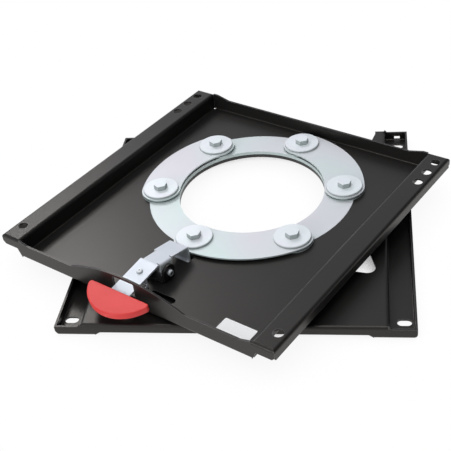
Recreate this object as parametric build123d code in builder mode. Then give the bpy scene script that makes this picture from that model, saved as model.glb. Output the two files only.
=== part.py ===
from build123d import *
import math
import os

# Swivel seat base: a lower tray bolted to the vehicle, a ring stack, and an
# upper tray that turns on it and carries the seat and the release lever.
# Millimetres, +Z up, origin on the swivel axis, level with the top of the lower
# tray's floor, in the round opening that passes through the whole ring stack.

# folded sheet
sheet = 2.5
bend_outer = 4.0
bend_inner = bend_outer - sheet

# lower tray
base_half_width = 211.5
base_front = 258.5
base_rear_margin = 9.5
base_rail_width = 31.5
base_lip_height = 14.0
base_floor_height = 17.0
base_front_edge_low = 5.5
base_step_inset = 15.0
base_step_run = 8.0
base_corner_cut_x = 4.0
base_corner_cut_z = 7.0
base_slot_inset = 14.0
base_slot_front_inset = 24.5
base_slot_rear_inset = 21.0
base_slot_length = 17.0
base_slot_width = 11.0
base_lip_hole_width = 8.0
base_lip_hole_height = 5.0
base_lip_hole_up = 5.4
floor_hole_radius = 98.5
lock_slot_half_width = 17.0
lock_slot_gap = 1.5
lock_slot_length = 13.5
window_ring_gap = 27.5
window_corner_inset = 11.0
window_corner_y = 166.5
window_corner_radius = 10.0
window_side_run = 77.5
window_side_lean = 20.5
window_front_run = 81.0
window_front_lean = 17.1
notch_inset = 14.0
notch_shoulder = 9.5
notch_shoulder_radius = 5.0
notch_side_run = 53.5
notch_side_lean = 15.5
notch_width = 54.0
notch_depth = 20.5

# ring stack
ring_outer_radius = 139.2
ring_rim_width = 14.2
bolt_count = 6
glide_height = 2.5
glide_step_top = 4.4
glide_step_width = 10.9
turning_gap = 0.4
ring_height = 4.6
lobe_radius = 26.5
retainer_height = 1.5
spacer_radius = 18.0
spacer_height = 1.5
arc_height = 2.0
disc_radius = 24.0
disc_height = 3.1
disc_chamfer = 0.8
shank_radius = 5.0
bolt_hole_radius = 5.3
head_across_flats = 16.0
head_turn = 17.0
head_height = 6.4
washer_radius = 10.0
washer_height = 2.0
nut_across_flats = 16.0
nut_height = 8.0
thread_past_nut = 1.0

# upper tray, turned clockwise seen from above
seat_turn = -29.3
seat_half_width = 212.2
seat_front = 259.1
seat_rear_margin = 10.4
seat_rail_width = 31.2
seat_rail_top = 30.7
seat_lip_bottom = 16.7
seat_front_top = 26.8
seat_front_slope_run = 14.0
seat_front_slope_radius = 10.0
seat_rear_top = 25.5
seat_rear_slope_inset = 7.0
seat_rear_slope_run = 21.0
seat_step_run = 6.0
hump_half_width = 89.5
hump_top = 44.5
front_window_centre_x = -0.75
front_window_width = 32.5
front_window_low = 19.0
front_window_high = 41.0
front_window_radius = 1.5
rail_hole_radius = 6.5
rail_hole_inset = 12.2
rail_hole_front_inset = 26.9
rail_hole_rear_inset = 18.1
rail_hole_pitch = 25.0
relief_radius = 2.3
relief_inset = 1.0
cable_slot_low_x = 12.0
cable_slot_high_x = 50.0
cable_slot_y = -230.5
cable_slot_width = 10.0
latch_slot_half_width = 18.5
latch_slot_margin = 4.0
latch_slot_radius = 1.5

# release lever, its bracket and pivot
lever_sheet = 2.5
lever_half_width = 14.0
lever_peak_y = -212.0
lever_peak_z = 35.5
lever_outer_slope = 0.1242
lever_mid_y = -184.4
lever_mid_z = 30.7
lever_tip_z = 24.5
tongue_gap = 3.0
tongue_bottom = 0.4
tongue_foot_length = 5.5
lever_bend_radius = 12.0
tongue_bend = 5.0
pivot_y = -200.5
pivot_z = 18.5
pivot_radius = 3.0
pivot_clearance = 0.3
tab_left_x = -12.5
tab_right_x = 15.6
tab_back_y = -209.0
tab_front_y = -188.0
tab_round_radius = 8.5
tab_relief = 1.6
tab_bend = 3.0
bracket_left_x = -13.0
bracket_right_x = 16.4
bracket_half_length = 10.5
screw_head_radius = 4.0
screw_head_height = 3.4
socket_across_flats = 4.0
socket_depth = 1.8
pivot_washer_radius = 6.0
pivot_washer_height = 1.0
pivot_nut_across_flats = 10.0
pivot_nut_height = 5.0
spring_y = -230.0
spring_mean_radius = 6.2
spring_wire_radius = 0.75
spring_turns = 5
stud_head_radius = 4.0
stud_head_height = 3.0
stud_shank_radius = 2.5
stud_reach = 7.0
stud_hole_radius = 1.0
handle_wall_gap = 7.9
handle_radius = 50.0
handle_centre_back = 15.6
handle_above = 2.0
handle_thickness = 9.0
handle_corner_radius = 4.0
handle_rim_radius = 1.6
handle_grip_depth = 20.0
handle_side_clearance = 0.2

# places worked out from the sizes above
ring_inner_radius = floor_hole_radius
bolt_circle_radius = ring_outer_radius - ring_rim_width
seat_hole_radius = ring_outer_radius + turning_gap
glide_outer_radius = seat_hole_radius + glide_step_width
base_rear = glide_outer_radius + base_rear_margin
seat_rear = glide_outer_radius + seat_rear_margin
base_wall_x = base_half_width - base_rail_width
base_step_x = base_wall_x - base_step_inset
base_slot_x = base_half_width - base_slot_inset
base_slot_front_y = base_slot_front_inset - base_front
base_slot_rear_y = base_rear - base_slot_rear_inset
seat_wall_x = seat_half_width - seat_rail_width
seat_front_slope_start = seat_wall_x - seat_front_slope_run
seat_rear_slope_end = seat_wall_x - seat_rear_slope_inset
seat_rear_slope_start = seat_rear_slope_end - seat_rear_slope_run
rail_hole_x = seat_half_width - rail_hole_inset
rail_hole_front_y = rail_hole_front_inset - seat_front
rail_hole_rear_y = seat_rear - rail_hole_rear_inset
handle_straight_y = -seat_front - handle_wall_gap
arc_outer_radius = bolt_circle_radius + lobe_radius
tongue_y = -arc_outer_radius - tongue_gap
tongue_foot_y = tongue_y - tongue_foot_length
latch_slot_near = glide_outer_radius
latch_slot_far = latch_slot_margin - tongue_foot_y
lock_slot_near = glide_outer_radius + lock_slot_gap
lock_slot_far = lock_slot_near + lock_slot_length
window_inner_radius = glide_outer_radius + window_ring_gap

# levels worked out from the sizes above, the lower tray's floor is level zero
base_floor_top = 0.0
base_bottom = base_floor_top - base_floor_height
base_rail_floor = base_bottom + sheet
base_lip_top = base_bottom + base_lip_height
base_floor_under = base_floor_top - sheet
glide_top = base_floor_top + glide_height
ring_top = glide_top + ring_height
retainer_top = ring_top + retainer_height
spacer_top = retainer_top + spacer_height
arc_top = spacer_top + arc_height
disc_top = arc_top + disc_height
head_top = disc_top + head_height
washer_under = base_floor_under - washer_height
nut_under = washer_under - nut_height
shank_end = nut_under - thread_past_nut
seat_floor_under = glide_step_top
seat_floor_top = seat_floor_under + sheet

os.makedirs("parts", exist_ok=True)

seat_place = Location((0, 0, 0), (0, 0, seat_turn))


def seat(plane):
    # the same plane carried round with the upper tray
    return Plane(seat_place * plane.location)


def corner(sketch, x, y):
    # the corner of a sketch nearest to a point
    return sketch.vertices().sort_by_distance((x, y, 0))[0]


def round_edge(plane, radius, length):
    # takes the sharp corner off a bend, the plane's origin is the bend's centre
    with BuildSketch(plane) as outside:
        with Locations((radius / 2 + 0.25, radius / 2 + 0.25)):
            Rectangle(radius + 0.5, radius + 0.5)
        Circle(radius, mode=Mode.SUBTRACT)
    extrude(outside.sketch, amount=length, mode=Mode.SUBTRACT)


def fill_edge(plane, radius, length):
    # fills the inside corner of a bend, the plane's origin is the bend's centre
    with BuildSketch(plane) as inside:
        with Locations((radius / 2, radius / 2)):
            Rectangle(radius, radius)
        Circle(radius, mode=Mode.SUBTRACT)
    extrude(inside.sketch, amount=length)


def frame_plane(x, y, z, y_sign, z_sign):
    # a plane square to X whose first axis points along Y and second along Z
    if y_sign * z_sign > 0:
        return Plane(origin=(x, y, z), x_dir=(0, y_sign, 0), z_dir=(1, 0, 0))
    return Plane(origin=(x, y, z), x_dir=(0, y_sign, 0), z_dir=(-1, 0, 0))


# lower tray: a raised floor between two low side rails, lips all round
with BuildPart() as lower_tray:
    with BuildSketch(Plane.XZ.offset(-(base_rear - sheet))) as base_section:
        Polygon(
            (0, base_floor_top),
            (base_wall_x, base_floor_top),
            (base_wall_x, base_rail_floor),
            (base_half_width - sheet, base_rail_floor),
            (base_half_width - sheet, base_lip_top),
            (base_half_width, base_lip_top),
            (base_half_width, base_bottom),
            (base_wall_x - sheet, base_bottom),
            (base_wall_x - sheet, base_floor_under),
            (0, base_floor_under),
            align=None,
        )
        fillet(corner(base_section, base_wall_x, base_floor_top), bend_outer)
        fillet(corner(base_section, base_wall_x - sheet, base_bottom), bend_outer)
        fillet(corner(base_section, base_half_width, base_bottom), bend_outer)
        fillet(corner(base_section, base_wall_x, base_rail_floor), bend_inner)
        fillet(corner(base_section, base_half_width - sheet, base_rail_floor), bend_inner)
        fillet(corner(base_section, base_wall_x - sheet, base_floor_under), bend_inner)
        mirror(about=Plane.YZ)
    extrude(amount=base_front + base_rear - 2 * sheet)
    # front and rear walls
    with BuildSketch(Plane.XZ.offset(base_front - sheet), Plane.XZ.offset(-base_rear)) as base_walls:
        Polygon(
            (0, base_floor_top),
            (base_wall_x, base_floor_top),
            (base_wall_x + base_floor_top - base_lip_top, base_lip_top),
            (base_half_width, base_lip_top),
            (base_half_width, base_bottom + base_corner_cut_z),
            (base_half_width - base_corner_cut_x, base_bottom),
            (base_step_x, base_bottom),
            (base_step_x - base_step_run, base_bottom + base_front_edge_low),
            (0, base_bottom + base_front_edge_low),
            align=None,
        )
        mirror(about=Plane.YZ)
    extrude(amount=sheet)
    # bends of the front and rear walls
    floor_bend_z = base_floor_top - bend_outer
    inner_bend_z = base_floor_under - bend_inner
    front_bend_y = bend_outer - base_front
    rear_bend_y = base_rear - bend_outer
    front_inner_y = sheet + bend_inner - base_front
    rear_inner_y = base_rear - sheet - bend_inner
    rail_bend_z = base_bottom + bend_outer
    rail_length = base_half_width - base_step_x + 3
    for bend_x in (-base_half_width - 1, base_step_x - 2):
        front_rail = frame_plane(bend_x, front_bend_y, rail_bend_z, -1, -1)
        rear_rail = frame_plane(bend_x + rail_length, rear_bend_y, rail_bend_z, 1, -1)
        round_edge(front_rail, bend_outer, rail_length)
        round_edge(rear_rail, bend_outer, rail_length)
    floor_x = base_wall_x - 1
    round_edge(frame_plane(floor_x, front_bend_y, floor_bend_z, -1, 1), bend_outer, 2 * floor_x)
    round_edge(frame_plane(-floor_x, rear_bend_y, floor_bend_z, 1, 1), bend_outer, 2 * floor_x)
    fill_x = base_wall_x - bend_outer
    fill_length = 2 * fill_x
    fill_edge(frame_plane(fill_x, front_inner_y, inner_bend_z, -1, 1), bend_inner, fill_length)
    fill_edge(frame_plane(-fill_x, rear_inner_y, inner_bend_z, 1, 1), bend_inner, fill_length)
    pan_bend_z = base_rail_floor + bend_inner
    pan_length = base_half_width - sheet - base_wall_x - 2 * bend_inner
    for pan_x in (bend_outer - base_half_width, base_wall_x + bend_inner):
        fill_edge(frame_plane(pan_x, front_inner_y, pan_bend_z, -1, -1), bend_inner, pan_length)
        pan_end = pan_x + pan_length
        fill_edge(frame_plane(pan_end, rear_inner_y, pan_bend_z, 1, -1), bend_inner, pan_length)
    # centre hole, bolt holes and lock slots for the latch
    with BuildSketch(Plane.XY.offset(base_floor_top)):
        Circle(floor_hole_radius)
        with PolarLocations(bolt_circle_radius, bolt_count):
            Circle(bolt_hole_radius)
        with Locations((0, -(lock_slot_far + lock_slot_near) / 2)):
            Rectangle(2 * lock_slot_half_width, lock_slot_length)
        with Locations((0, (lock_slot_far + lock_slot_near) / 2)):
            Rectangle(2 * lock_slot_half_width, lock_slot_length)
    extrude(amount=-sheet - 1, mode=Mode.SUBTRACT)
    # the rear lock notch is open to the rear edge
    with Locations((0, base_rear, base_floor_top - base_floor_height / 2)):
        Box(2 * lock_slot_half_width, 2 * (base_rear - lock_slot_near), base_floor_height + 2,
            mode=Mode.SUBTRACT)
    # rounded windows in the front corners of the floor
    window_x = base_wall_x - window_corner_inset
    with BuildSketch(Plane.XY.offset(base_floor_top + 1)) as front_windows:
        Polygon(
            (window_x, -window_corner_y),
            (window_x - window_side_lean, window_side_run - window_corner_y),
            (window_x - window_front_run, window_front_lean - window_corner_y),
            align=None,
        )
        Circle(window_inner_radius, mode=Mode.SUBTRACT)
        fillet(corner(front_windows, window_x, -window_corner_y), window_corner_radius)
        mirror(about=Plane.YZ)
    extrude(amount=-sheet - 2, mode=Mode.SUBTRACT)
    # notches in the rear corners, open to the rear edge
    notch_x = base_wall_x - notch_inset
    notch_y = base_rear - notch_shoulder
    with BuildSketch(Plane.XY.offset(base_floor_top + 1)) as rear_notches:
        Polygon(
            (notch_x, base_rear + sheet),
            (notch_x, notch_y),
            (notch_x - notch_side_lean, notch_y - notch_side_run),
            (notch_x - notch_width, notch_y - notch_depth),
            (notch_x - notch_width, base_rear + sheet),
            align=None,
        )
        Circle(window_inner_radius, mode=Mode.SUBTRACT)
        fillet(corner(rear_notches, notch_x, notch_y), notch_shoulder_radius)
        mirror(about=Plane.YZ)
    extrude(amount=-base_floor_height - 2, mode=Mode.SUBTRACT)
    # slots in the side rails for the vehicle's bolts
    with BuildSketch(Plane.XY.offset(base_bottom)):
        with Locations(
            (base_slot_x, base_slot_front_y),
            (-base_slot_x, base_slot_front_y),
            (base_slot_x, base_slot_rear_y),
            (-base_slot_x, base_slot_rear_y),
        ):
            SlotOverall(base_slot_length, base_slot_width)
    extrude(amount=sheet, mode=Mode.SUBTRACT)
    # square holes in the rear lips
    with Locations(
        (base_slot_x, base_rear, base_bottom + base_lip_hole_up),
        (-base_slot_x, base_rear, base_bottom + base_lip_hole_up),
    ):
        Box(base_lip_hole_width, 4 * sheet, base_lip_hole_height, mode=Mode.SUBTRACT)
lower_tray.part.label = "lower_tray"
export_step(lower_tray.part, "parts/lower_tray.step")

# stepped glide ring, the upper tray's floor slides on its outer step
with BuildPart() as glide_ring:
    with BuildSketch(Plane.XY.offset(base_floor_top)):
        Circle(glide_outer_radius)
        Circle(floor_hole_radius, mode=Mode.SUBTRACT)
        with PolarLocations(bolt_circle_radius, bolt_count):
            Circle(bolt_hole_radius, mode=Mode.SUBTRACT)
    extrude(amount=glide_height)
    with BuildSketch(Plane.XY.offset(glide_top)):
        Circle(glide_outer_radius)
        Circle(seat_hole_radius, mode=Mode.SUBTRACT)
    extrude(amount=glide_step_top - glide_top)
glide_ring.part.label = "glide_ring"
export_step(glide_ring.part, "parts/glide_ring.step")

# bearing ring, the upper tray turns round its rim
with BuildPart() as bearing_ring:
    with BuildSketch(Plane.XY.offset(glide_top)):
        Circle(ring_outer_radius)
        Circle(ring_inner_radius, mode=Mode.SUBTRACT)
        with PolarLocations(bolt_circle_radius, bolt_count):
            Circle(bolt_hole_radius, mode=Mode.SUBTRACT)
    extrude(amount=ring_height)
bearing_ring.part.label = "bearing_ring"
export_step(bearing_ring.part, "parts/bearing_ring.step")

# six large washers that keep the upper tray's floor down
with BuildPart() as retaining_washers:
    with BuildSketch(Plane.XY.offset(ring_top)):
        with PolarLocations(bolt_circle_radius, bolt_count):
            Circle(lobe_radius)
            Circle(bolt_hole_radius, mode=Mode.SUBTRACT)
    extrude(amount=retainer_height)
retaining_washers.part.label = "retaining_washers"
export_step(retaining_washers.part, "parts/retaining_washers.step")

# six spacers under the arc plates
with BuildPart() as spacer_washers:
    with BuildSketch(Plane.XY.offset(retainer_top)):
        with PolarLocations(bolt_circle_radius, bolt_count):
            Circle(spacer_radius)
            Circle(bolt_hole_radius, mode=Mode.SUBTRACT)
    extrude(amount=spacer_height)
spacer_washers.part.label = "spacer_washers"
export_step(spacer_washers.part, "parts/spacer_washers.step")


def arc_plate_shape(first_angle):
    # a band over two bolts, 60 degrees apart, with round ends
    far_x = 2 * arc_outer_radius * math.cos(math.radians(first_angle))
    far_y = 2 * arc_outer_radius * math.sin(math.radians(first_angle))
    end_x = 2 * arc_outer_radius * math.cos(math.radians(first_angle + 60))
    end_y = 2 * arc_outer_radius * math.sin(math.radians(first_angle + 60))
    with BuildSketch(Plane.XY.offset(spacer_top)) as band:
        Circle(arc_outer_radius)
        Circle(ring_inner_radius, mode=Mode.SUBTRACT)
        Polygon((0, 0), (far_x, far_y), (end_x, end_y), align=None, mode=Mode.INTERSECT)
        with PolarLocations(bolt_circle_radius, 2, start_angle=first_angle, angular_range=60,
                            endpoint=True):
            Circle(lobe_radius)
        with PolarLocations(bolt_circle_radius, 2, start_angle=first_angle, angular_range=60,
                            endpoint=True):
            Circle(bolt_hole_radius, mode=Mode.SUBTRACT)
    extrude(band.sketch, amount=arc_height)


with BuildPart() as arc_plate_left:
    arc_plate_shape(120)
arc_plate_left.part.label = "arc_plate_left"
export_step(arc_plate_left.part, "parts/arc_plate_left.step")

with BuildPart() as arc_plate_right:
    arc_plate_shape(0)
arc_plate_right.part.label = "arc_plate_right"
export_step(arc_plate_right.part, "parts/arc_plate_right.step")

with BuildPart() as arc_plate_front:
    arc_plate_shape(240)
arc_plate_front.part.label = "arc_plate_front"
export_step(arc_plate_front.part, "parts/arc_plate_front.step")

# thick discs under the bolt heads
with BuildPart() as clamp_discs:
    with BuildSketch(Plane.XY.offset(arc_top)):
        with PolarLocations(bolt_circle_radius, bolt_count):
            Circle(disc_radius)
    extrude(amount=disc_height)
    chamfer(clamp_discs.faces().group_by(Axis.Z)[-1].edges(), disc_chamfer)
    with BuildSketch(Plane.XY.offset(arc_top)):
        with PolarLocations(bolt_circle_radius, bolt_count):
            Circle(bolt_hole_radius)
    extrude(amount=disc_height, mode=Mode.SUBTRACT)
clamp_discs.part.label = "clamp_discs"
export_step(clamp_discs.part, "parts/clamp_discs.step")

# hexagon bolts, the heads all stand turned the same way
head_corner_radius = head_across_flats / math.sqrt(3)
with BuildPart() as hex_bolts:
    with BuildSketch(Plane.XY.offset(disc_top)):
        with PolarLocations(bolt_circle_radius, bolt_count, rotate=False):
            RegularPolygon(head_corner_radius, 6, rotation=head_turn)
    extrude(amount=head_height)
    with PolarLocations(bolt_circle_radius, bolt_count, rotate=False):
        with Locations((0, 0, head_top - head_height / 2)):
            Cone(head_corner_radius + head_height / 2 * 1.6, head_corner_radius - 0.6,
                 head_height, mode=Mode.INTERSECT)
    with BuildSketch(Plane.XY.offset(shank_end)):
        with PolarLocations(bolt_circle_radius, bolt_count):
            Circle(shank_radius)
    extrude(amount=disc_top - shank_end)
hex_bolts.part.label = "hex_bolts"
export_step(hex_bolts.part, "parts/hex_bolts.step")

# washers and lock nuts under the lower tray's floor
with BuildPart() as nut_washers:
    with BuildSketch(Plane.XY.offset(washer_under)):
        with PolarLocations(bolt_circle_radius, bolt_count):
            Circle(washer_radius)
            Circle(bolt_hole_radius, mode=Mode.SUBTRACT)
    extrude(amount=washer_height)
nut_washers.part.label = "nut_washers"
export_step(nut_washers.part, "parts/nut_washers.step")

with BuildPart() as lock_nuts:
    with BuildSketch(Plane.XY.offset(nut_under)):
        with PolarLocations(bolt_circle_radius, bolt_count, rotate=False):
            RegularPolygon(nut_across_flats / math.sqrt(3), 6, rotation=30)
        with PolarLocations(bolt_circle_radius, bolt_count):
            Circle(shank_radius, mode=Mode.SUBTRACT)
    extrude(amount=nut_height)
lock_nuts.part.label = "lock_nuts"
export_step(lock_nuts.part, "parts/lock_nuts.step")

# upper tray: a low floor between two high side rails, walls front and rear
with BuildPart() as upper_tray:
    with BuildSketch(seat(Plane.XZ.offset(-(seat_rear - sheet)))) as seat_section:
        Polygon(
            (0, seat_floor_top),
            (seat_wall_x, seat_floor_top),
            (seat_wall_x, seat_rail_top),
            (seat_half_width, seat_rail_top),
            (seat_half_width, seat_lip_bottom),
            (seat_half_width - sheet, seat_lip_bottom),
            (seat_half_width - sheet, seat_rail_top - sheet),
            (seat_wall_x + sheet, seat_rail_top - sheet),
            (seat_wall_x + sheet, seat_floor_under),
            (0, seat_floor_under),
            align=None,
        )
        fillet(corner(seat_section, seat_wall_x, seat_rail_top), bend_outer)
        fillet(corner(seat_section, seat_half_width, seat_rail_top), bend_outer)
        fillet(corner(seat_section, seat_wall_x + sheet, seat_floor_under), bend_outer)
        fillet(corner(seat_section, seat_wall_x, seat_floor_top), bend_inner)
        fillet(corner(seat_section, seat_half_width - sheet, seat_rail_top - sheet), bend_inner)
        fillet(corner(seat_section, seat_wall_x + sheet, seat_rail_top - sheet), bend_inner)
        mirror(about=Plane.YZ)
    extrude(amount=seat_front + seat_rear - 2 * sheet)
    # front wall with a hump over the lever
    with BuildSketch(seat(Plane.XZ.offset(seat_front - sheet))) as seat_front_wall:
        Polygon(
            (0, seat_front_top),
            (seat_front_slope_start, seat_front_top),
            (seat_wall_x, seat_rail_top),
            (seat_half_width, seat_rail_top),
            (seat_half_width, seat_lip_bottom + bend_outer),
            (seat_half_width - bend_outer, seat_lip_bottom),
            (seat_wall_x + seat_step_run, seat_lip_bottom),
            (seat_wall_x, seat_floor_under),
            (0, seat_floor_under),
            align=None,
        )
        fillet(corner(seat_front_wall, seat_half_width, seat_rail_top), bend_outer)
        fillet(corner(seat_front_wall, seat_front_slope_start, seat_front_top), seat_front_slope_radius)
        mirror(about=Plane.YZ)
        with BuildLine():
            ThreePointArc(
                (-hump_half_width, seat_front_top),
                (0, hump_top),
                (hump_half_width, seat_front_top),
            )
            Line((hump_half_width, seat_front_top), (-hump_half_width, seat_front_top))
        make_face()
        window_height = front_window_high - front_window_low
        with Locations((front_window_centre_x, front_window_low + window_height / 2)):
            RectangleRounded(front_window_width, window_height, front_window_radius, mode=Mode.SUBTRACT)
    extrude(amount=sheet)
    # rear wall
    with BuildSketch(seat(Plane.XZ.offset(-seat_rear))) as seat_rear_wall:
        Polygon(
            (0, seat_rear_top),
            (seat_rear_slope_start, seat_rear_top),
            (seat_rear_slope_end, seat_rail_top),
            (seat_half_width, seat_rail_top),
            (seat_half_width, seat_lip_bottom + bend_outer),
            (seat_half_width - bend_outer, seat_lip_bottom),
            (seat_wall_x + seat_step_run, seat_lip_bottom),
            (seat_wall_x, seat_floor_under),
            (0, seat_floor_under),
            align=None,
        )
        fillet(corner(seat_rear_wall, seat_half_width, seat_rail_top), bend_outer)
        mirror(about=Plane.YZ)
    extrude(amount=sheet)
    # bends of the front and rear walls
    low_bend_z = seat_floor_under + bend_outer
    low_inner_z = seat_floor_top + bend_inner
    top_bend_z = seat_rail_top - bend_outer
    top_inner_z = seat_rail_top - sheet - bend_inner
    wall_front_y = bend_outer - seat_front
    wall_rear_y = seat_rear - bend_outer
    wall_front_inner = sheet + bend_inner - seat_front
    wall_rear_inner = seat_rear - sheet - bend_inner
    pan_width = 2 * seat_wall_x
    round_edge(seat(frame_plane(-seat_wall_x, wall_front_y, low_bend_z, -1, -1)), bend_outer, pan_width)
    round_edge(seat(frame_plane(seat_wall_x, wall_rear_y, low_bend_z, 1, -1)), bend_outer, pan_width)
    fill_edge(seat(frame_plane(-seat_wall_x, wall_front_inner, low_inner_z, -1, -1)), bend_inner,
              pan_width)
    fill_edge(seat(frame_plane(seat_wall_x, wall_rear_inner, low_inner_z, 1, -1)), bend_inner,
              pan_width)
    rail_width = seat_half_width - seat_wall_x
    for rail_x in (-seat_half_width, seat_wall_x):
        rail_end = rail_x + rail_width
        round_edge(seat(frame_plane(rail_end, wall_front_y, top_bend_z, -1, 1)), bend_outer, rail_width)
        round_edge(seat(frame_plane(rail_x, wall_rear_y, top_bend_z, 1, 1)), bend_outer, rail_width)
    lip_width = rail_width - 2 * sheet
    for lip_x in (sheet - seat_half_width, seat_wall_x + sheet):
        lip_end = lip_x + lip_width
        fill_edge(seat(frame_plane(lip_end, wall_front_inner, top_inner_z, -1, 1)), bend_inner,
                  lip_width)
        fill_edge(seat(frame_plane(lip_x, wall_rear_inner, top_inner_z, 1, 1)), bend_inner,
                  lip_width)
    # bearing hole, cable slot, latch slot and corner reliefs in the floor
    relief_x = seat_wall_x - relief_inset
    relief_rear_y = seat_rear - sheet - relief_inset
    relief_front_y = sheet + relief_inset - seat_front
    with BuildSketch(seat(Plane.XY.offset(seat_floor_top + 0.5))) as floor_cuts:
        Circle(seat_hole_radius)
        with Locations(((cable_slot_low_x + cable_slot_high_x) / 2, cable_slot_y)):
            SlotOverall(cable_slot_high_x - cable_slot_low_x, cable_slot_width)
        with Locations((0, -(latch_slot_near + latch_slot_far) / 2)):
            RectangleRounded(2 * latch_slot_half_width, latch_slot_far - latch_slot_near,
                             latch_slot_radius)
        with Locations(
            (relief_x, relief_rear_y),
            (-relief_x, relief_rear_y),
            (relief_x, relief_front_y),
            (-relief_x, relief_front_y),
        ):
            Circle(relief_radius)
    extrude(amount=-sheet - 1, mode=Mode.SUBTRACT)
    # seat bolt holes in the rails
    with BuildSketch(seat(Plane.XY.offset(seat_rail_top))):
        for hole_x in (-rail_hole_x, rail_hole_x):
            with Locations(
                (hole_x, rail_hole_front_y),
                (hole_x, rail_hole_rear_y - 2 * rail_hole_pitch),
                (hole_x, rail_hole_rear_y - rail_hole_pitch),
                (hole_x, rail_hole_rear_y),
            ):
                Circle(rail_hole_radius)
    extrude(amount=-sheet, mode=Mode.SUBTRACT)
upper_tray.part.label = "upper_tray"
export_step(upper_tray.part, "parts/upper_tray.step")

# bracket for the lever: a base on the floor and two ears
with BuildPart() as lever_bracket:
    ear_left = bracket_left_x - sheet
    ear_right = bracket_right_x + sheet
    with BuildSketch(seat(Plane.XZ.offset(-(pivot_y + bracket_half_length)))) as bracket_section:
        Polygon(
            (ear_left, seat_floor_top),
            (ear_right, seat_floor_top),
            (ear_right, pivot_z + bracket_half_length),
            (bracket_right_x, pivot_z + bracket_half_length),
            (bracket_right_x, seat_floor_top + sheet),
            (bracket_left_x, seat_floor_top + sheet),
            (bracket_left_x, pivot_z + bracket_half_length),
            (ear_left, pivot_z + bracket_half_length),
            align=None,
        )
        fillet(corner(bracket_section, ear_left, seat_floor_top), bend_outer)
        fillet(corner(bracket_section, ear_right, seat_floor_top), bend_outer)
        fillet(corner(bracket_section, bracket_left_x, seat_floor_top + sheet), bend_inner)
        fillet(corner(bracket_section, bracket_right_x, seat_floor_top + sheet), bend_inner)
    extrude(amount=2 * bracket_half_length)
    # round the tops of the ears and drill the pivot holes
    with BuildSketch(seat(Plane.YZ.offset(ear_left - 1))) as ear_trim:
        with Locations((pivot_y, pivot_z + bracket_half_length / 2)):
            Rectangle(3 * bracket_half_length, bracket_half_length + 1)
        with Locations((pivot_y, pivot_z)):
            Circle(bracket_half_length, mode=Mode.SUBTRACT)
        with Locations((pivot_y, pivot_z)):
            Circle(pivot_radius + 0.1)
    extrude(amount=ear_right - ear_left + 2, mode=Mode.SUBTRACT)
lever_bracket.part.label = "lever_bracket"
export_step(lever_bracket.part, "parts/lever_bracket.step")

# pivot washer, socket screw and nut
with BuildPart() as pivot_washer:
    with BuildSketch(seat(Plane.YZ.offset(ear_right))):
        with Locations((pivot_y, pivot_z)):
            Circle(pivot_washer_radius)
            Circle(pivot_radius + 0.1, mode=Mode.SUBTRACT)
    extrude(amount=pivot_washer_height)
pivot_washer.part.label = "pivot_washer"
export_step(pivot_washer.part, "parts/pivot_washer.step")

head_start_x = ear_right + pivot_washer_height
nut_end_x = ear_left - pivot_nut_height
with BuildPart() as pivot_screw:
    with BuildSketch(seat(Plane.YZ.offset(head_start_x))):
        with Locations((pivot_y, pivot_z)):
            Circle(screw_head_radius)
    extrude(amount=screw_head_height)
    chamfer(pivot_screw.faces().sort_by(Axis((0, 0, 0), seat(Plane.YZ).z_dir))[-1].edges(), 0.6)
    with BuildSketch(seat(Plane.YZ.offset(head_start_x + screw_head_height))):
        with Locations((pivot_y, pivot_z)):
            RegularPolygon(socket_across_flats / math.sqrt(3), 6)
    extrude(amount=-socket_depth, mode=Mode.SUBTRACT)
    with BuildSketch(seat(Plane.YZ.offset(nut_end_x - thread_past_nut))):
        with Locations((pivot_y, pivot_z)):
            Circle(pivot_radius)
    extrude(amount=head_start_x - nut_end_x + thread_past_nut)
pivot_screw.part.label = "pivot_screw"
export_step(pivot_screw.part, "parts/pivot_screw.step")

with BuildPart() as pivot_nut:
    with BuildSketch(seat(Plane.YZ.offset(nut_end_x))):
        with Locations((pivot_y, pivot_z)):
            RegularPolygon(pivot_nut_across_flats / math.sqrt(3), 6)
            Circle(pivot_radius, mode=Mode.SUBTRACT)
    extrude(amount=pivot_nut_height)
pivot_nut.part.label = "pivot_nut"
export_step(pivot_nut.part, "parts/pivot_nut.step")


def lever_top(y):
    # height of the lever's upper face over the handle side
    return lever_peak_z + (y - lever_peak_y) * lever_outer_slope


lever_angle = math.atan(lever_outer_slope)
handle_top_z = lever_top(handle_straight_y)
grip_end_y = handle_straight_y - handle_grip_depth * math.cos(lever_angle)
grip_end_z = handle_top_z - handle_grip_depth * math.sin(lever_angle)
drop_y = lever_sheet * math.sin(lever_angle)
drop_z = lever_sheet * math.cos(lever_angle)

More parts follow.
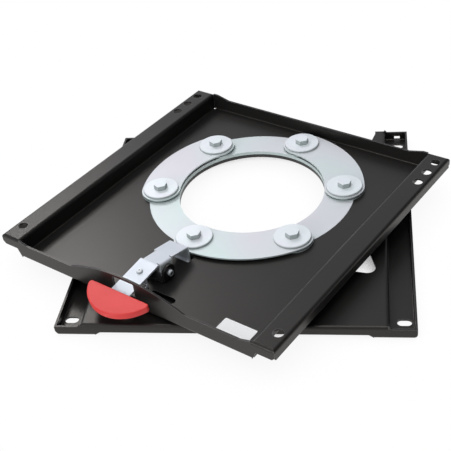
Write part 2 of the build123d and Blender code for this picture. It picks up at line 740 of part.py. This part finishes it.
# release lever: one folded strip with a latch tongue and two pivot tabs
with BuildPart() as release_lever:
    with BuildSketch(seat(Plane.YZ.offset(-lever_half_width))) as lever_profile:
        with BuildLine() as lever_line:
            Polyline(
                (grip_end_y, grip_end_z),
                (lever_peak_y, lever_peak_z),
                (lever_mid_y, lever_mid_z),
                (tongue_y, lever_tip_z),
                (tongue_y, tongue_bottom),
                (tongue_foot_y, tongue_bottom),
            )
            fillet(corner(lever_line, lever_peak_y, lever_peak_z), lever_bend_radius)
            fillet(corner(lever_line, lever_mid_y, lever_mid_z), lever_bend_radius)
            fillet(corner(lever_line, tongue_y, lever_tip_z), bend_outer)
            fillet(corner(lever_line, tongue_y, tongue_bottom), tongue_bend)
            offset(amount=lever_sheet, side=Side.RIGHT)
        make_face()
    extrude(amount=2 * lever_half_width)
    # notch the strip where the tabs fold down
    tab_angle = math.atan2(lever_mid_z - lever_peak_z, lever_mid_y - lever_peak_y)
    tab_length = (tab_front_y - tab_back_y) / math.cos(tab_angle)
    tab_start_z = lever_peak_z + (tab_back_y - lever_peak_y) * math.tan(tab_angle)
    tab_dir = (0, math.cos(tab_angle), math.sin(tab_angle))
    tab_plane = Plane(origin=(0, tab_back_y, tab_start_z), x_dir=(-1, 0, 0), z_dir=tab_dir)
    notch_length = tab_length + 2 * tab_relief
    with BuildSketch(seat(tab_plane.offset(-tab_relief))):
        with Locations((lever_half_width + 5, 0), (-lever_half_width - 5, 0)):
            Rectangle(10 + 2 * bend_outer, 4 * lever_sheet)
    extrude(amount=notch_length, mode=Mode.SUBTRACT)
    tab_drop = 26.0
    with BuildSketch(seat(tab_plane)) as tab_section:
        Polygon(
            (-tab_right_x, 0),
            (-tab_left_x, 0),
            (-tab_left_x, -tab_drop),
            (-tab_left_x - lever_sheet, -tab_drop),
            (-tab_left_x - lever_sheet, -lever_sheet),
            (-tab_right_x + lever_sheet, -lever_sheet),
            (-tab_right_x + lever_sheet, -tab_drop),
            (-tab_right_x, -tab_drop),
            align=None,
        )
        fillet(corner(tab_section, -tab_right_x, 0), tab_bend)
        fillet(corner(tab_section, -tab_left_x, 0), tab_bend)
        tab_inner = tab_bend - lever_sheet
        fillet(corner(tab_section, -tab_right_x + lever_sheet, -lever_sheet), tab_inner)
        fillet(corner(tab_section, -tab_left_x - lever_sheet, -lever_sheet), tab_inner)
    extrude(amount=tab_length)
    # trim the tabs to a round end about the pivot
    trim_top = pivot_z + tab_round_radius
    with BuildSketch(seat(Plane.YZ.offset(tab_left_x - 1))) as tab_trim:
        with Locations((pivot_y, pivot_z - 4)):
            Rectangle(60, 2 * tab_round_radius + 8)
        with Locations((pivot_y, pivot_z)):
            Circle(tab_round_radius, mode=Mode.SUBTRACT)
        Polygon(
            (pivot_y - tab_round_radius, pivot_z),
            (pivot_y + tab_round_radius, pivot_z),
            (tab_front_y + 3, trim_top),
            (tab_back_y - 3, trim_top),
            align=None,
            mode=Mode.SUBTRACT,
        )
        with Locations((pivot_y, pivot_z)):
            Circle(pivot_radius + pivot_clearance)
    extrude(amount=tab_right_x - tab_left_x + 2, mode=Mode.SUBTRACT)
    # hole for the spring stud
    stud_plane = Plane(
        origin=(0, spring_y, lever_top(spring_y)),
        x_dir=(1, 0, 0),
        z_dir=(0, -math.sin(lever_angle), math.cos(lever_angle)),
    )
    with BuildSketch(seat(stud_plane)):
        Circle(stud_shank_radius)
    extrude(amount=-2 * lever_sheet, mode=Mode.SUBTRACT)
release_lever.part.label = "release_lever"
export_step(release_lever.part, "parts/release_lever.step")

# hollow domed stud that centres the spring
with BuildPart() as spring_stud:
    with BuildSketch(seat(stud_plane)):
        Circle(stud_head_radius)
    extrude(amount=stud_head_height)
    stud_up = Axis((0, 0, 0), seat(stud_plane).z_dir)
    fillet(spring_stud.faces().sort_by(stud_up)[-1].edges(), 2.4)
    with BuildSketch(seat(stud_plane)):
        Circle(stud_shank_radius)
    extrude(amount=-lever_sheet - stud_reach)
    with BuildSketch(seat(stud_plane.offset(stud_head_height))):
        Circle(stud_hole_radius)
    extrude(amount=-stud_head_height - 2, mode=Mode.SUBTRACT)
spring_stud.part.label = "spring_stud"
export_step(spring_stud.part, "parts/spring_stud.step")

# return spring between the upper tray's floor and the lever
spring_rim_y = spring_y - spring_mean_radius - spring_wire_radius
spring_top = lever_top(spring_rim_y) - drop_z - 0.15
spring_start_z = seat_floor_top + spring_wire_radius
spring_height = spring_top - seat_floor_top - 2 * spring_wire_radius
spring_pitch = spring_height / spring_turns
with BuildPart() as return_spring:
    with BuildLine(seat(Plane(origin=(0, spring_y, spring_start_z)))) as spring_line:
        Helix(spring_pitch, spring_height, spring_mean_radius)
    with BuildSketch(Plane(origin=spring_line.line @ 0, z_dir=spring_line.line % 0)):
        Circle(spring_wire_radius)
    sweep(path=spring_line.line, is_frenet=True)
return_spring.part.label = "return_spring"
export_step(return_spring.part, "parts/return_spring.step")

# half moon handle gripping the end of the lever
handle_plane = Plane(
    origin=(0, handle_straight_y, handle_top_z),
    x_dir=(1, 0, 0),
    z_dir=(0, -math.sin(lever_angle), math.cos(lever_angle)),
)
with BuildPart() as lever_handle:
    with BuildSketch(seat(handle_plane.offset(handle_above))) as handle_outline:
        with Locations((0, handle_centre_back)):
            Circle(handle_radius)
        with Locations((0, handle_radius)):
            Rectangle(3 * handle_radius, 2 * handle_radius, mode=Mode.SUBTRACT)
        fillet(handle_outline.vertices(), handle_corner_radius)
    extrude(amount=-handle_thickness)
    handle_up = Axis((0, 0, 0), seat(handle_plane).z_dir)
    fillet(lever_handle.faces().sort_by(handle_up)[-1].edges(), handle_rim_radius)
    fillet(lever_handle.faces().sort_by(handle_up)[0].edges(), handle_rim_radius)
    with BuildSketch(seat(handle_plane)):
        Rectangle(2 * (lever_half_width + handle_side_clearance), 2 * handle_grip_depth)
    extrude(amount=-lever_sheet, mode=Mode.SUBTRACT)
lever_handle.part.label = "lever_handle"
export_step(lever_handle.part, "parts/lever_handle.step")
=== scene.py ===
import bpy
import bmesh
import math
from mathutils import Matrix, Vector


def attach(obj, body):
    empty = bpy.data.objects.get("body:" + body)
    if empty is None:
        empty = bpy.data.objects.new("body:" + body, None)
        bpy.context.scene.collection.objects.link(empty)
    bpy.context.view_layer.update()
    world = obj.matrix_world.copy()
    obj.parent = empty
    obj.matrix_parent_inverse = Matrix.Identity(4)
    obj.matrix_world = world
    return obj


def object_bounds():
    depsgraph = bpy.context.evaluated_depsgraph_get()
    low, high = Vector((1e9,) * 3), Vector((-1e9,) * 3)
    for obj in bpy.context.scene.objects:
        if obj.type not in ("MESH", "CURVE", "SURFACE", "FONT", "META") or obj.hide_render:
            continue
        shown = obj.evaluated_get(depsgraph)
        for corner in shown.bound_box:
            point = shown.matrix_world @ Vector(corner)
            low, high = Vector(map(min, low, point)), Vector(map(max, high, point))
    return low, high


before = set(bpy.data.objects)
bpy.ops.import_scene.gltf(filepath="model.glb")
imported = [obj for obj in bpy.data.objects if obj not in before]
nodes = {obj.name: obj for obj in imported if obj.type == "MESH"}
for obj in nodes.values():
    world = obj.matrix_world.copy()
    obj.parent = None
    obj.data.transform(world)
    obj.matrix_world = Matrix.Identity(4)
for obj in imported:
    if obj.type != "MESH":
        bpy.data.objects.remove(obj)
cad_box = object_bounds()

# Lengths are in metres
SEAT_TURN = math.radians(-29.3)
SEAT_FLOOR_TOP = 0.0069
LABEL_X = (0.1185, 0.1635)
LABEL_Y = (-0.2475, -0.2215)
LABEL_CORNER = 0.0015
LABEL_CORNER_STEPS = 4
LABEL_THICKNESS = 0.00018
GROUND_GAP = 0.0002
GROUND = cad_box[0][2] - GROUND_GAP
GROUND_HALF_SIZE = 6.0

# A noise keeps mostly between these two values
NOISE_LOW = 0.3
NOISE_HIGH = 0.7

WHITE = (1.0, 1.0, 1.0)


# Node helpers

def new_material(name):
    mat = bpy.data.materials.new(name)
    mat.use_nodes = True
    tree = mat.node_tree
    shader = tree.nodes["Principled BSDF"]
    return mat, tree, shader


def link(tree, output, socket):
    tree.links.new(output, socket)


def coords(tree):
    return tree.nodes.new("ShaderNodeTexCoord").outputs["Object"]


def noise(tree, vector, scale, detail=3.0, rough=0.5):
    node = tree.nodes.new("ShaderNodeTexNoise")
    node.inputs["Scale"].default_value = scale
    node.inputs["Detail"].default_value = detail
    node.inputs["Roughness"].default_value = rough
    link(tree, vector, node.inputs["Vector"])
    return node.outputs["Fac"]


def ramp(tree, value, stops):
    """A colour for a value, from (position, colour) stops."""
    node = tree.nodes.new("ShaderNodeValToRGB")
    elements = node.color_ramp.elements
    while len(elements) < len(stops):
        elements.new(0.5)
    for element, (position, colour) in zip(elements, stops):
        element.position = position
        element.color = (*colour, 1.0)
    link(tree, value, node.inputs["Fac"])
    return node.outputs["Color"]


def shades(tree, value, dark, light):
    """A noise's colour, from dark to light."""
    return ramp(tree, value, [(NOISE_LOW, dark), (NOISE_HIGH, light)])


def remap(tree, value, low, high, out_low, out_high):
    node = tree.nodes.new("ShaderNodeMapRange")
    node.inputs["From Min"].default_value = low
    node.inputs["From Max"].default_value = high
    node.inputs["To Min"].default_value = out_low
    node.inputs["To Max"].default_value = out_high
    link(tree, value, node.inputs["Value"])
    return node.outputs["Result"]


def roughen(tree, shader, value, smoothest, roughest):
    """Lets a noise vary the roughness."""
    varied = remap(tree, value, NOISE_LOW, NOISE_HIGH, smoothest, roughest)
    link(tree, varied, shader.inputs["Roughness"])


def mix(tree, share, first, second):
    """Mixes two colours; each input is an output of a node or a colour."""
    node = tree.nodes.new("ShaderNodeMix")
    node.data_type = "RGBA"
    link(tree, share, node.inputs["Factor"])
    for socket, value in ((node.inputs[6], first), (node.inputs[7], second)):
        if isinstance(value, tuple):
            socket.default_value = (*value, 1.0)
        else:
            link(tree, value, socket)
    return node.outputs[2]


def math_node(tree, operation, *values):
    node = tree.nodes.new("ShaderNodeMath")
    node.operation = operation
    for socket, value in zip(node.inputs, values):
        link(tree, value, socket)
    return node.outputs[0]


def axes(tree, vector):
    """The X, Y and Z outputs of a vector."""
    node = tree.nodes.new("ShaderNodeSeparateXYZ")
    link(tree, vector, node.inputs[0])
    return node.outputs


def openness(tree, samples, distance):
    """1 in the open, falling to 0 where other surfaces are close."""
    node = tree.nodes.new("ShaderNodeAmbientOcclusion")
    node.samples = samples
    node.inputs["Distance"].default_value = distance
    return node.outputs["AO"]


def bump(tree, height, shader, strength, distance):
    node = tree.nodes.new("ShaderNodeBump")
    node.inputs["Strength"].default_value = strength
    node.inputs["Distance"].default_value = distance
    link(tree, height, node.inputs["Height"])
    link(tree, node.outputs["Normal"], shader.inputs["Normal"])


def edge_mask(tree, radius, flat_match, edge_match):
    """1 on sharp edges, 0 on flats: how far a rounded normal leaves the true one."""
    rounded = tree.nodes.new("ShaderNodeBevel")
    rounded.samples = 4
    rounded.inputs["Radius"].default_value = radius
    geometry = tree.nodes.new("ShaderNodeNewGeometry")
    match = tree.nodes.new("ShaderNodeVectorMath")
    match.operation = "DOT_PRODUCT"
    link(tree, rounded.outputs["Normal"], match.inputs[0])
    link(tree, geometry.outputs["True Normal"], match.inputs[1])
    return remap(tree, match.outputs["Value"], flat_match, edge_match, 0.0, 1.0)


# Materials

def powder_coat(name, dark, light, edge_wear_and_highlight, rough):
    """Black coat with orange peel, paler on sharp edges: partly the coat worn thinner there, partly a
    painted highlight.
    """
    mat, tree, shader = new_material(name)
    place = coords(tree)
    cloud = noise(tree, place, scale=9.0, detail=2.0)
    peel = noise(tree, place, scale=700.0, detail=2.0, rough=0.6)
    edge = edge_mask(tree, radius=0.0006, flat_match=0.985, edge_match=0.86)
    # paler on sharp edges: partly worn coat, partly painted highlight
    colour = mix(tree, edge, shades(tree, cloud, dark, light), edge_wear_and_highlight)
    link(tree, colour, shader.inputs["Base Color"])
    roughen(tree, shader, peel, rough - 0.03, rough + 0.05)
    shader.inputs["Specular IOR Level"].default_value = 0.4
    shader.inputs["Specular Tint"].default_value = (1.0, 0.925, 0.85, 1.0)
    bump(tree, peel, shader, strength=0.2, distance=0.0001)
    return mat


def zinc(name, tint_a, tint_b, side, cloud_scale, rough, metal, crevice_shade_reach):
    """Zinc plating: cloudy tints on level faces; upright faces get one side colour, which is painted
    shade (painted light on the lever and spring); crevices and gaps between parts get painted shade.
    """
    mat, tree, shader = new_material(name)
    place = coords(tree)
    cloud = noise(tree, place, cloud_scale, detail=1.5)
    between = tuple((a + b) / 2 for a, b in zip(tint_a, tint_b))
    tint = ramp(tree, cloud, [(0.34, tint_a), (0.5, between), (0.66, tint_b)])
    # painted light and shade: upright faces take the side colour in place of the tints, darker on plates
    # and bolts, slightly lighter on lever and spring, for how light falls on them
    geometry = tree.nodes.new("ShaderNodeNewGeometry")
    tilt = math_node(tree, "ABSOLUTE", axes(tree, geometry.outputs["True Normal"])["Z"])
    level = remap(tree, tilt, 0.25, 0.8, 0.0, 1.0)
    before_crevice_shade = mix(tree, level, side, tint)
    # painted shade: the colour falls to near black where other surfaces are close, in crevices and gaps
    # between parts
    openness_for_painted_shade = remap(tree, openness(tree, samples=8, distance=crevice_shade_reach), 0.3, 0.62, 0.02, 1.0)
    colour = mix(tree, openness_for_painted_shade, (0.012, 0.012, 0.012), before_crevice_shade)
    link(tree, colour, shader.inputs["Base Color"])
    shader.inputs["Metallic"].default_value = metal
    fine = noise(tree, place, scale=180.0, detail=2.0)
    roughen(tree, shader, fine, rough - 0.015, rough + 0.02)
    bump(tree, fine, shader, strength=0.012, distance=0.00002)
    return mat


def dark_metal(name, dark, light):
    mat, tree, shader = new_material(name)
    fine = noise(tree, coords(tree), scale=400.0)
    link(tree, shades(tree, fine, dark, light), shader.inputs["Base Color"])
    shader.inputs["Metallic"].default_value = 0.6
    roughen(tree, shader, fine, 0.32, 0.45)
    bump(tree, fine, shader, strength=0.1, distance=0.00005)
    return mat


def plastic(name, dark, light, rough, grain):
    mat, tree, shader = new_material(name)
    place = coords(tree)
    cloud = noise(tree, place, scale=25.0, detail=2.0)
    fine = noise(tree, place, grain, detail=2.0, rough=0.6)
    link(tree, shades(tree, cloud, dark, light), shader.inputs["Base Color"])
    roughen(tree, shader, fine, rough - 0.04, rough + 0.06)
    bump(tree, fine, shader, strength=0.18, distance=0.00008)
    return mat


def paper(name, dark, light):
    mat, tree, shader = new_material(name)
    fine = noise(tree, coords(tree), scale=900.0)
    link(tree, shades(tree, fine, dark, light), shader.inputs["Base Color"])
    shader.inputs["Roughness"].default_value = 0.45
    bump(tree, fine, shader, strength=0.05, distance=0.00003)
    return mat


# The pale edge colour of the coat is partly wear, partly painted highlight.
coat = powder_coat("powder_coat", dark=(0.0105, 0.01, 0.0095), light=(0.0135, 0.0128, 0.012),
                   edge_wear_and_highlight=(0.18, 0.18, 0.185), rough=0.35)
# The last argument of each zinc sets how far its painted shade in crevices and gaps between parts
# reaches.
# side: painted shade on upright faces of plates and bolts, painted light on those of spring and lever
zinc_plate = zinc("zinc_plate", (0.65, 0.745, 0.73), (0.71, 0.685, 0.725), side=(0.52, 0.6, 0.585),
                  cloud_scale=8.0, rough=0.46, metal=0.3, crevice_shade_reach=0.005)
zinc_bolt = zinc("zinc_bolt", (0.8, 0.86, 0.87), (0.82, 0.83, 0.87), side=(0.43, 0.48, 0.47),
                 cloud_scale=40.0, rough=0.42, metal=0.18, crevice_shade_reach=0.005)
zinc_spring = zinc("zinc_spring", (0.8, 0.84, 0.86), (0.86, 0.87, 0.9), side=(0.85, 0.88, 0.9),
                   cloud_scale=60.0, rough=0.3, metal=0.5, crevice_shade_reach=0.0012)
zinc_lever = zinc("zinc_lever", (0.67, 0.71, 0.76), (0.71, 0.73, 0.78), side=(0.72, 0.76, 0.76),
                  cloud_scale=30.0, rough=0.48, metal=0.2, crevice_shade_reach=0.0025)
dark_steel = dark_metal("dark_steel", dark=(0.035, 0.035, 0.038), light=(0.07, 0.07, 0.075))
black_plastic = plastic("black_plastic", dark=(0.012, 0.012, 0.012), light=(0.018, 0.018, 0.018),
                        rough=0.5, grain=500.0)
red_plastic = plastic("red_plastic", dark=(0.69, 0.03, 0.027), light=(0.77, 0.042, 0.037),
                      rough=0.48, grain=600.0)
label_paper = paper("label_paper", dark=(0.93, 0.92, 0.9), light=(0.97, 0.965, 0.95))

finish = {
    "lower_tray": coat,
    "upper_tray": coat,
    "lever_bracket": coat,
    "glide_ring": black_plastic,
    "bearing_ring": zinc_plate,
    "retaining_washers": zinc_plate,
    "spacer_washers": dark_steel,
    "arc_plate_left": zinc_plate,
    "arc_plate_right": zinc_plate,
    "arc_plate_front": zinc_plate,
    "clamp_discs": zinc_bolt,
    "hex_bolts": zinc_bolt,
    "nut_washers": zinc_bolt,
    "lock_nuts": zinc_bolt,
    "pivot_screw": zinc_bolt,
    "pivot_washer": dark_steel,
    "pivot_nut": zinc_bolt,
    "return_spring": zinc_spring,
    "release_lever": zinc_lever,
    "lever_handle": red_plastic,
    "spring_stud": zinc_bolt,
}


def dress(obj, mat):
    """Gives a CAD node its material, without changing its mesh."""
    if not obj.material_slots:
        obj.data.materials.append(mat)
        return
    for slot in obj.material_slots:
        slot.link = "OBJECT"
        slot.material = mat


for node_name, material in finish.items():
    dress(nodes[node_name], material)


# The label, bare of print, on the upper tray's floor

def seat_point(x, y, z):
    """A point of the turned upper tray's own frame, in the shared frame."""
    c, s = math.cos(SEAT_TURN), math.sin(SEAT_TURN)
    return Vector((x * c - y * s, x * s + y * c, z))


def bare_label():
    left, right = LABEL_X[0] + LABEL_CORNER, LABEL_X[1] - LABEL_CORNER
    front, rear = LABEL_Y[0] + LABEL_CORNER, LABEL_Y[1] - LABEL_CORNER
    bm = bmesh.new()
    outline = []
    for x, y, start in ((right, rear, 0), (left, rear, 90), (left, front, 180), (right, front, 270)):
        for step in range(LABEL_CORNER_STEPS + 1):
            angle = math.radians(start + 90 / LABEL_CORNER_STEPS * step)
            across = x + LABEL_CORNER * math.cos(angle)
            along = y + LABEL_CORNER * math.sin(angle)
            outline.append(bm.verts.new(seat_point(across, along, SEAT_FLOOR_TOP)))
    face = bm.faces.new(outline)
    top = bmesh.ops.extrude_face_region(bm, geom=[face])
    for part in top["geom"]:
        if isinstance(part, bmesh.types.BMVert):
            part.co.z += LABEL_THICKNESS
    bmesh.ops.recalc_face_normals(bm, faces=bm.faces)
    mesh = bpy.data.meshes.new("bare_label")
    bm.to_mesh(mesh)
    bm.free()
    obj = bpy.data.objects.new("bare_label", mesh)
    bpy.context.scene.collection.objects.link(obj)
    obj.data.materials.append(label_paper)
    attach(obj, "seat_plate")


bare_label()


# Floor, world, lights and camera

def make_floor():
    """A pale floor that the camera sees as white, grey only close under the object, where a painted
    shadow dims its glow.
    """
    mesh = bpy.data.meshes.new("floor")
    size = GROUND_HALF_SIZE
    corners = [(-size, -size, 0), (size, -size, 0), (size, size, 0), (-size, size, 0)]
    mesh.from_pydata(corners, [], [(0, 1, 2, 3)])
    obj = bpy.data.objects.new("floor", mesh)
    obj.location.z = GROUND
    bpy.context.scene.collection.objects.link(obj)
    mat, tree, shader = new_material("pale_floor")
    shader.inputs["Base Color"].default_value = (0.86, 0.86, 0.86, 1.0)
    shader.inputs["Roughness"].default_value = 0.9
    glow = tree.nodes.new("ShaderNodeEmission")
    glow.inputs["Color"].default_value = (*WHITE, 1.0)
    # painted shadow: the glow dims where the object is close above, strongly under it and faintly around
    # it
    openness_for_painted_shade = openness(tree, samples=20, distance=0.09)
    under = remap(tree, openness_for_painted_shade, 0.0, 0.1, 0.05, 0.9)
    around = remap(tree, openness_for_painted_shade, 0.1, 0.85, 0.0, 0.1)
    link(tree, math_node(tree, "ADD", under, around), glow.inputs["Strength"])
    path = tree.nodes.new("ShaderNodeLightPath")
    seen = math_node(tree, "MAXIMUM", path.outputs["Is Camera Ray"], path.outputs["Is Glossy Ray"])
    blend = tree.nodes.new("ShaderNodeMixShader")
    link(tree, seen, blend.inputs["Fac"])
    link(tree, shader.outputs[0], blend.inputs[1])
    link(tree, glow.outputs[0], blend.inputs[2])
    link(tree, blend.outputs[0], tree.nodes["Material Output"].inputs["Surface"])
    mesh.materials.append(mat)


def make_world():
    """White to the camera; as light, strongest from the left and somewhat from the rear."""
    world = bpy.data.worlds.new("studio")
    bpy.context.scene.world = world
    world.use_nodes = True
    tree = world.node_tree
    sky = tree.nodes["Background"]
    sky.inputs["Color"].default_value = (0.9, 0.93, 1.0, 1.0)
    heading = axes(tree, tree.nodes.new("ShaderNodeTexCoord").outputs["Generated"])
    from_left = remap(tree, heading["X"], -0.1, 0.65, 0.62, 0.06)
    from_rear = remap(tree, heading["Y"], 0.2, 0.8, 0.0, 0.2)
    link(tree, math_node(tree, "ADD", from_left, from_rear), sky.inputs["Strength"])
    plain = tree.nodes.new("ShaderNodeBackground")
    plain.inputs["Color"].default_value = (*WHITE, 1.0)
    plain.inputs["Strength"].default_value = 1.0
    path = tree.nodes.new("ShaderNodeLightPath")
    blend = tree.nodes.new("ShaderNodeMixShader")
    link(tree, path.outputs["Is Camera Ray"], blend.inputs["Fac"])
    link(tree, sky.outputs[0], blend.inputs[1])
    link(tree, plain.outputs[0], blend.inputs[2])
    link(tree, blend.outputs[0], tree.nodes["World Output"].inputs["Surface"])


def area_light(name, place, target, width, height, watts):
    data = bpy.data.lights.new(name, "AREA")
    data.shape = "RECTANGLE"
    data.size = width
    data.size_y = height
    data.energy = watts
    obj = bpy.data.objects.new(name, data)
    obj.location = place
    obj.rotation_euler = (Vector(target) - Vector(place)).to_track_quat("-Z", "Y").to_euler()
    bpy.context.scene.collection.objects.link(obj)


def make_camera(target, distance, azimuth, elevation, roll, lens):
    """The photograph's camera: angles in degrees, azimuth from the front towards the right."""
    turn, rise, lean = math.radians(azimuth), math.radians(elevation), math.radians(roll)
    level = math.cos(rise)
    back = Vector((math.sin(turn) * level, -math.cos(turn) * level, math.sin(rise)))
    side = Vector((math.cos(turn), math.sin(turn), 0.0))
    upward = back.cross(side)
    right = side * math.cos(lean) + upward * math.sin(lean)
    above = upward * math.cos(lean) - side * math.sin(lean)
    place = Vector(target) + back * distance
    data = bpy.data.cameras.new("camera")
    data.sensor_width = 36.0
    data.lens = lens
    data.clip_start = 0.01
    obj = bpy.data.objects.new("camera", data)
    obj.matrix_world = Matrix((
        (right.x, above.x, back.x, place.x),
        (right.y, above.y, back.y, place.y),
        (right.z, above.z, back.z, place.z),
        (0, 0, 0, 1),
    ))
    bpy.context.scene.collection.objects.link(obj)
    bpy.context.scene.camera = obj


make_floor()
make_world()
area_light("overhead", (0.1, -0.3, 2.3), target=(0, 0, 0), width=1.6, height=1.2, watts=17.5)
area_light("rear_left_strip", (-1.02, 1.4, 1.65), target=(-0.08, 0, 0), width=0.6, height=0.6, watts=12.5)
area_light("front_fill", (-1.3, -1.65, 0.6), target=(0, 0, 0), width=0.9, height=0.5, watts=13.0)
make_camera(target=(-0.0248, -0.0864, 0.0145), distance=1.2138, azimuth=11.27, elevation=36.76,
            roll=-7.23, lens=75.44)

scene = bpy.context.scene
scene.view_settings.view_transform = "Standard"
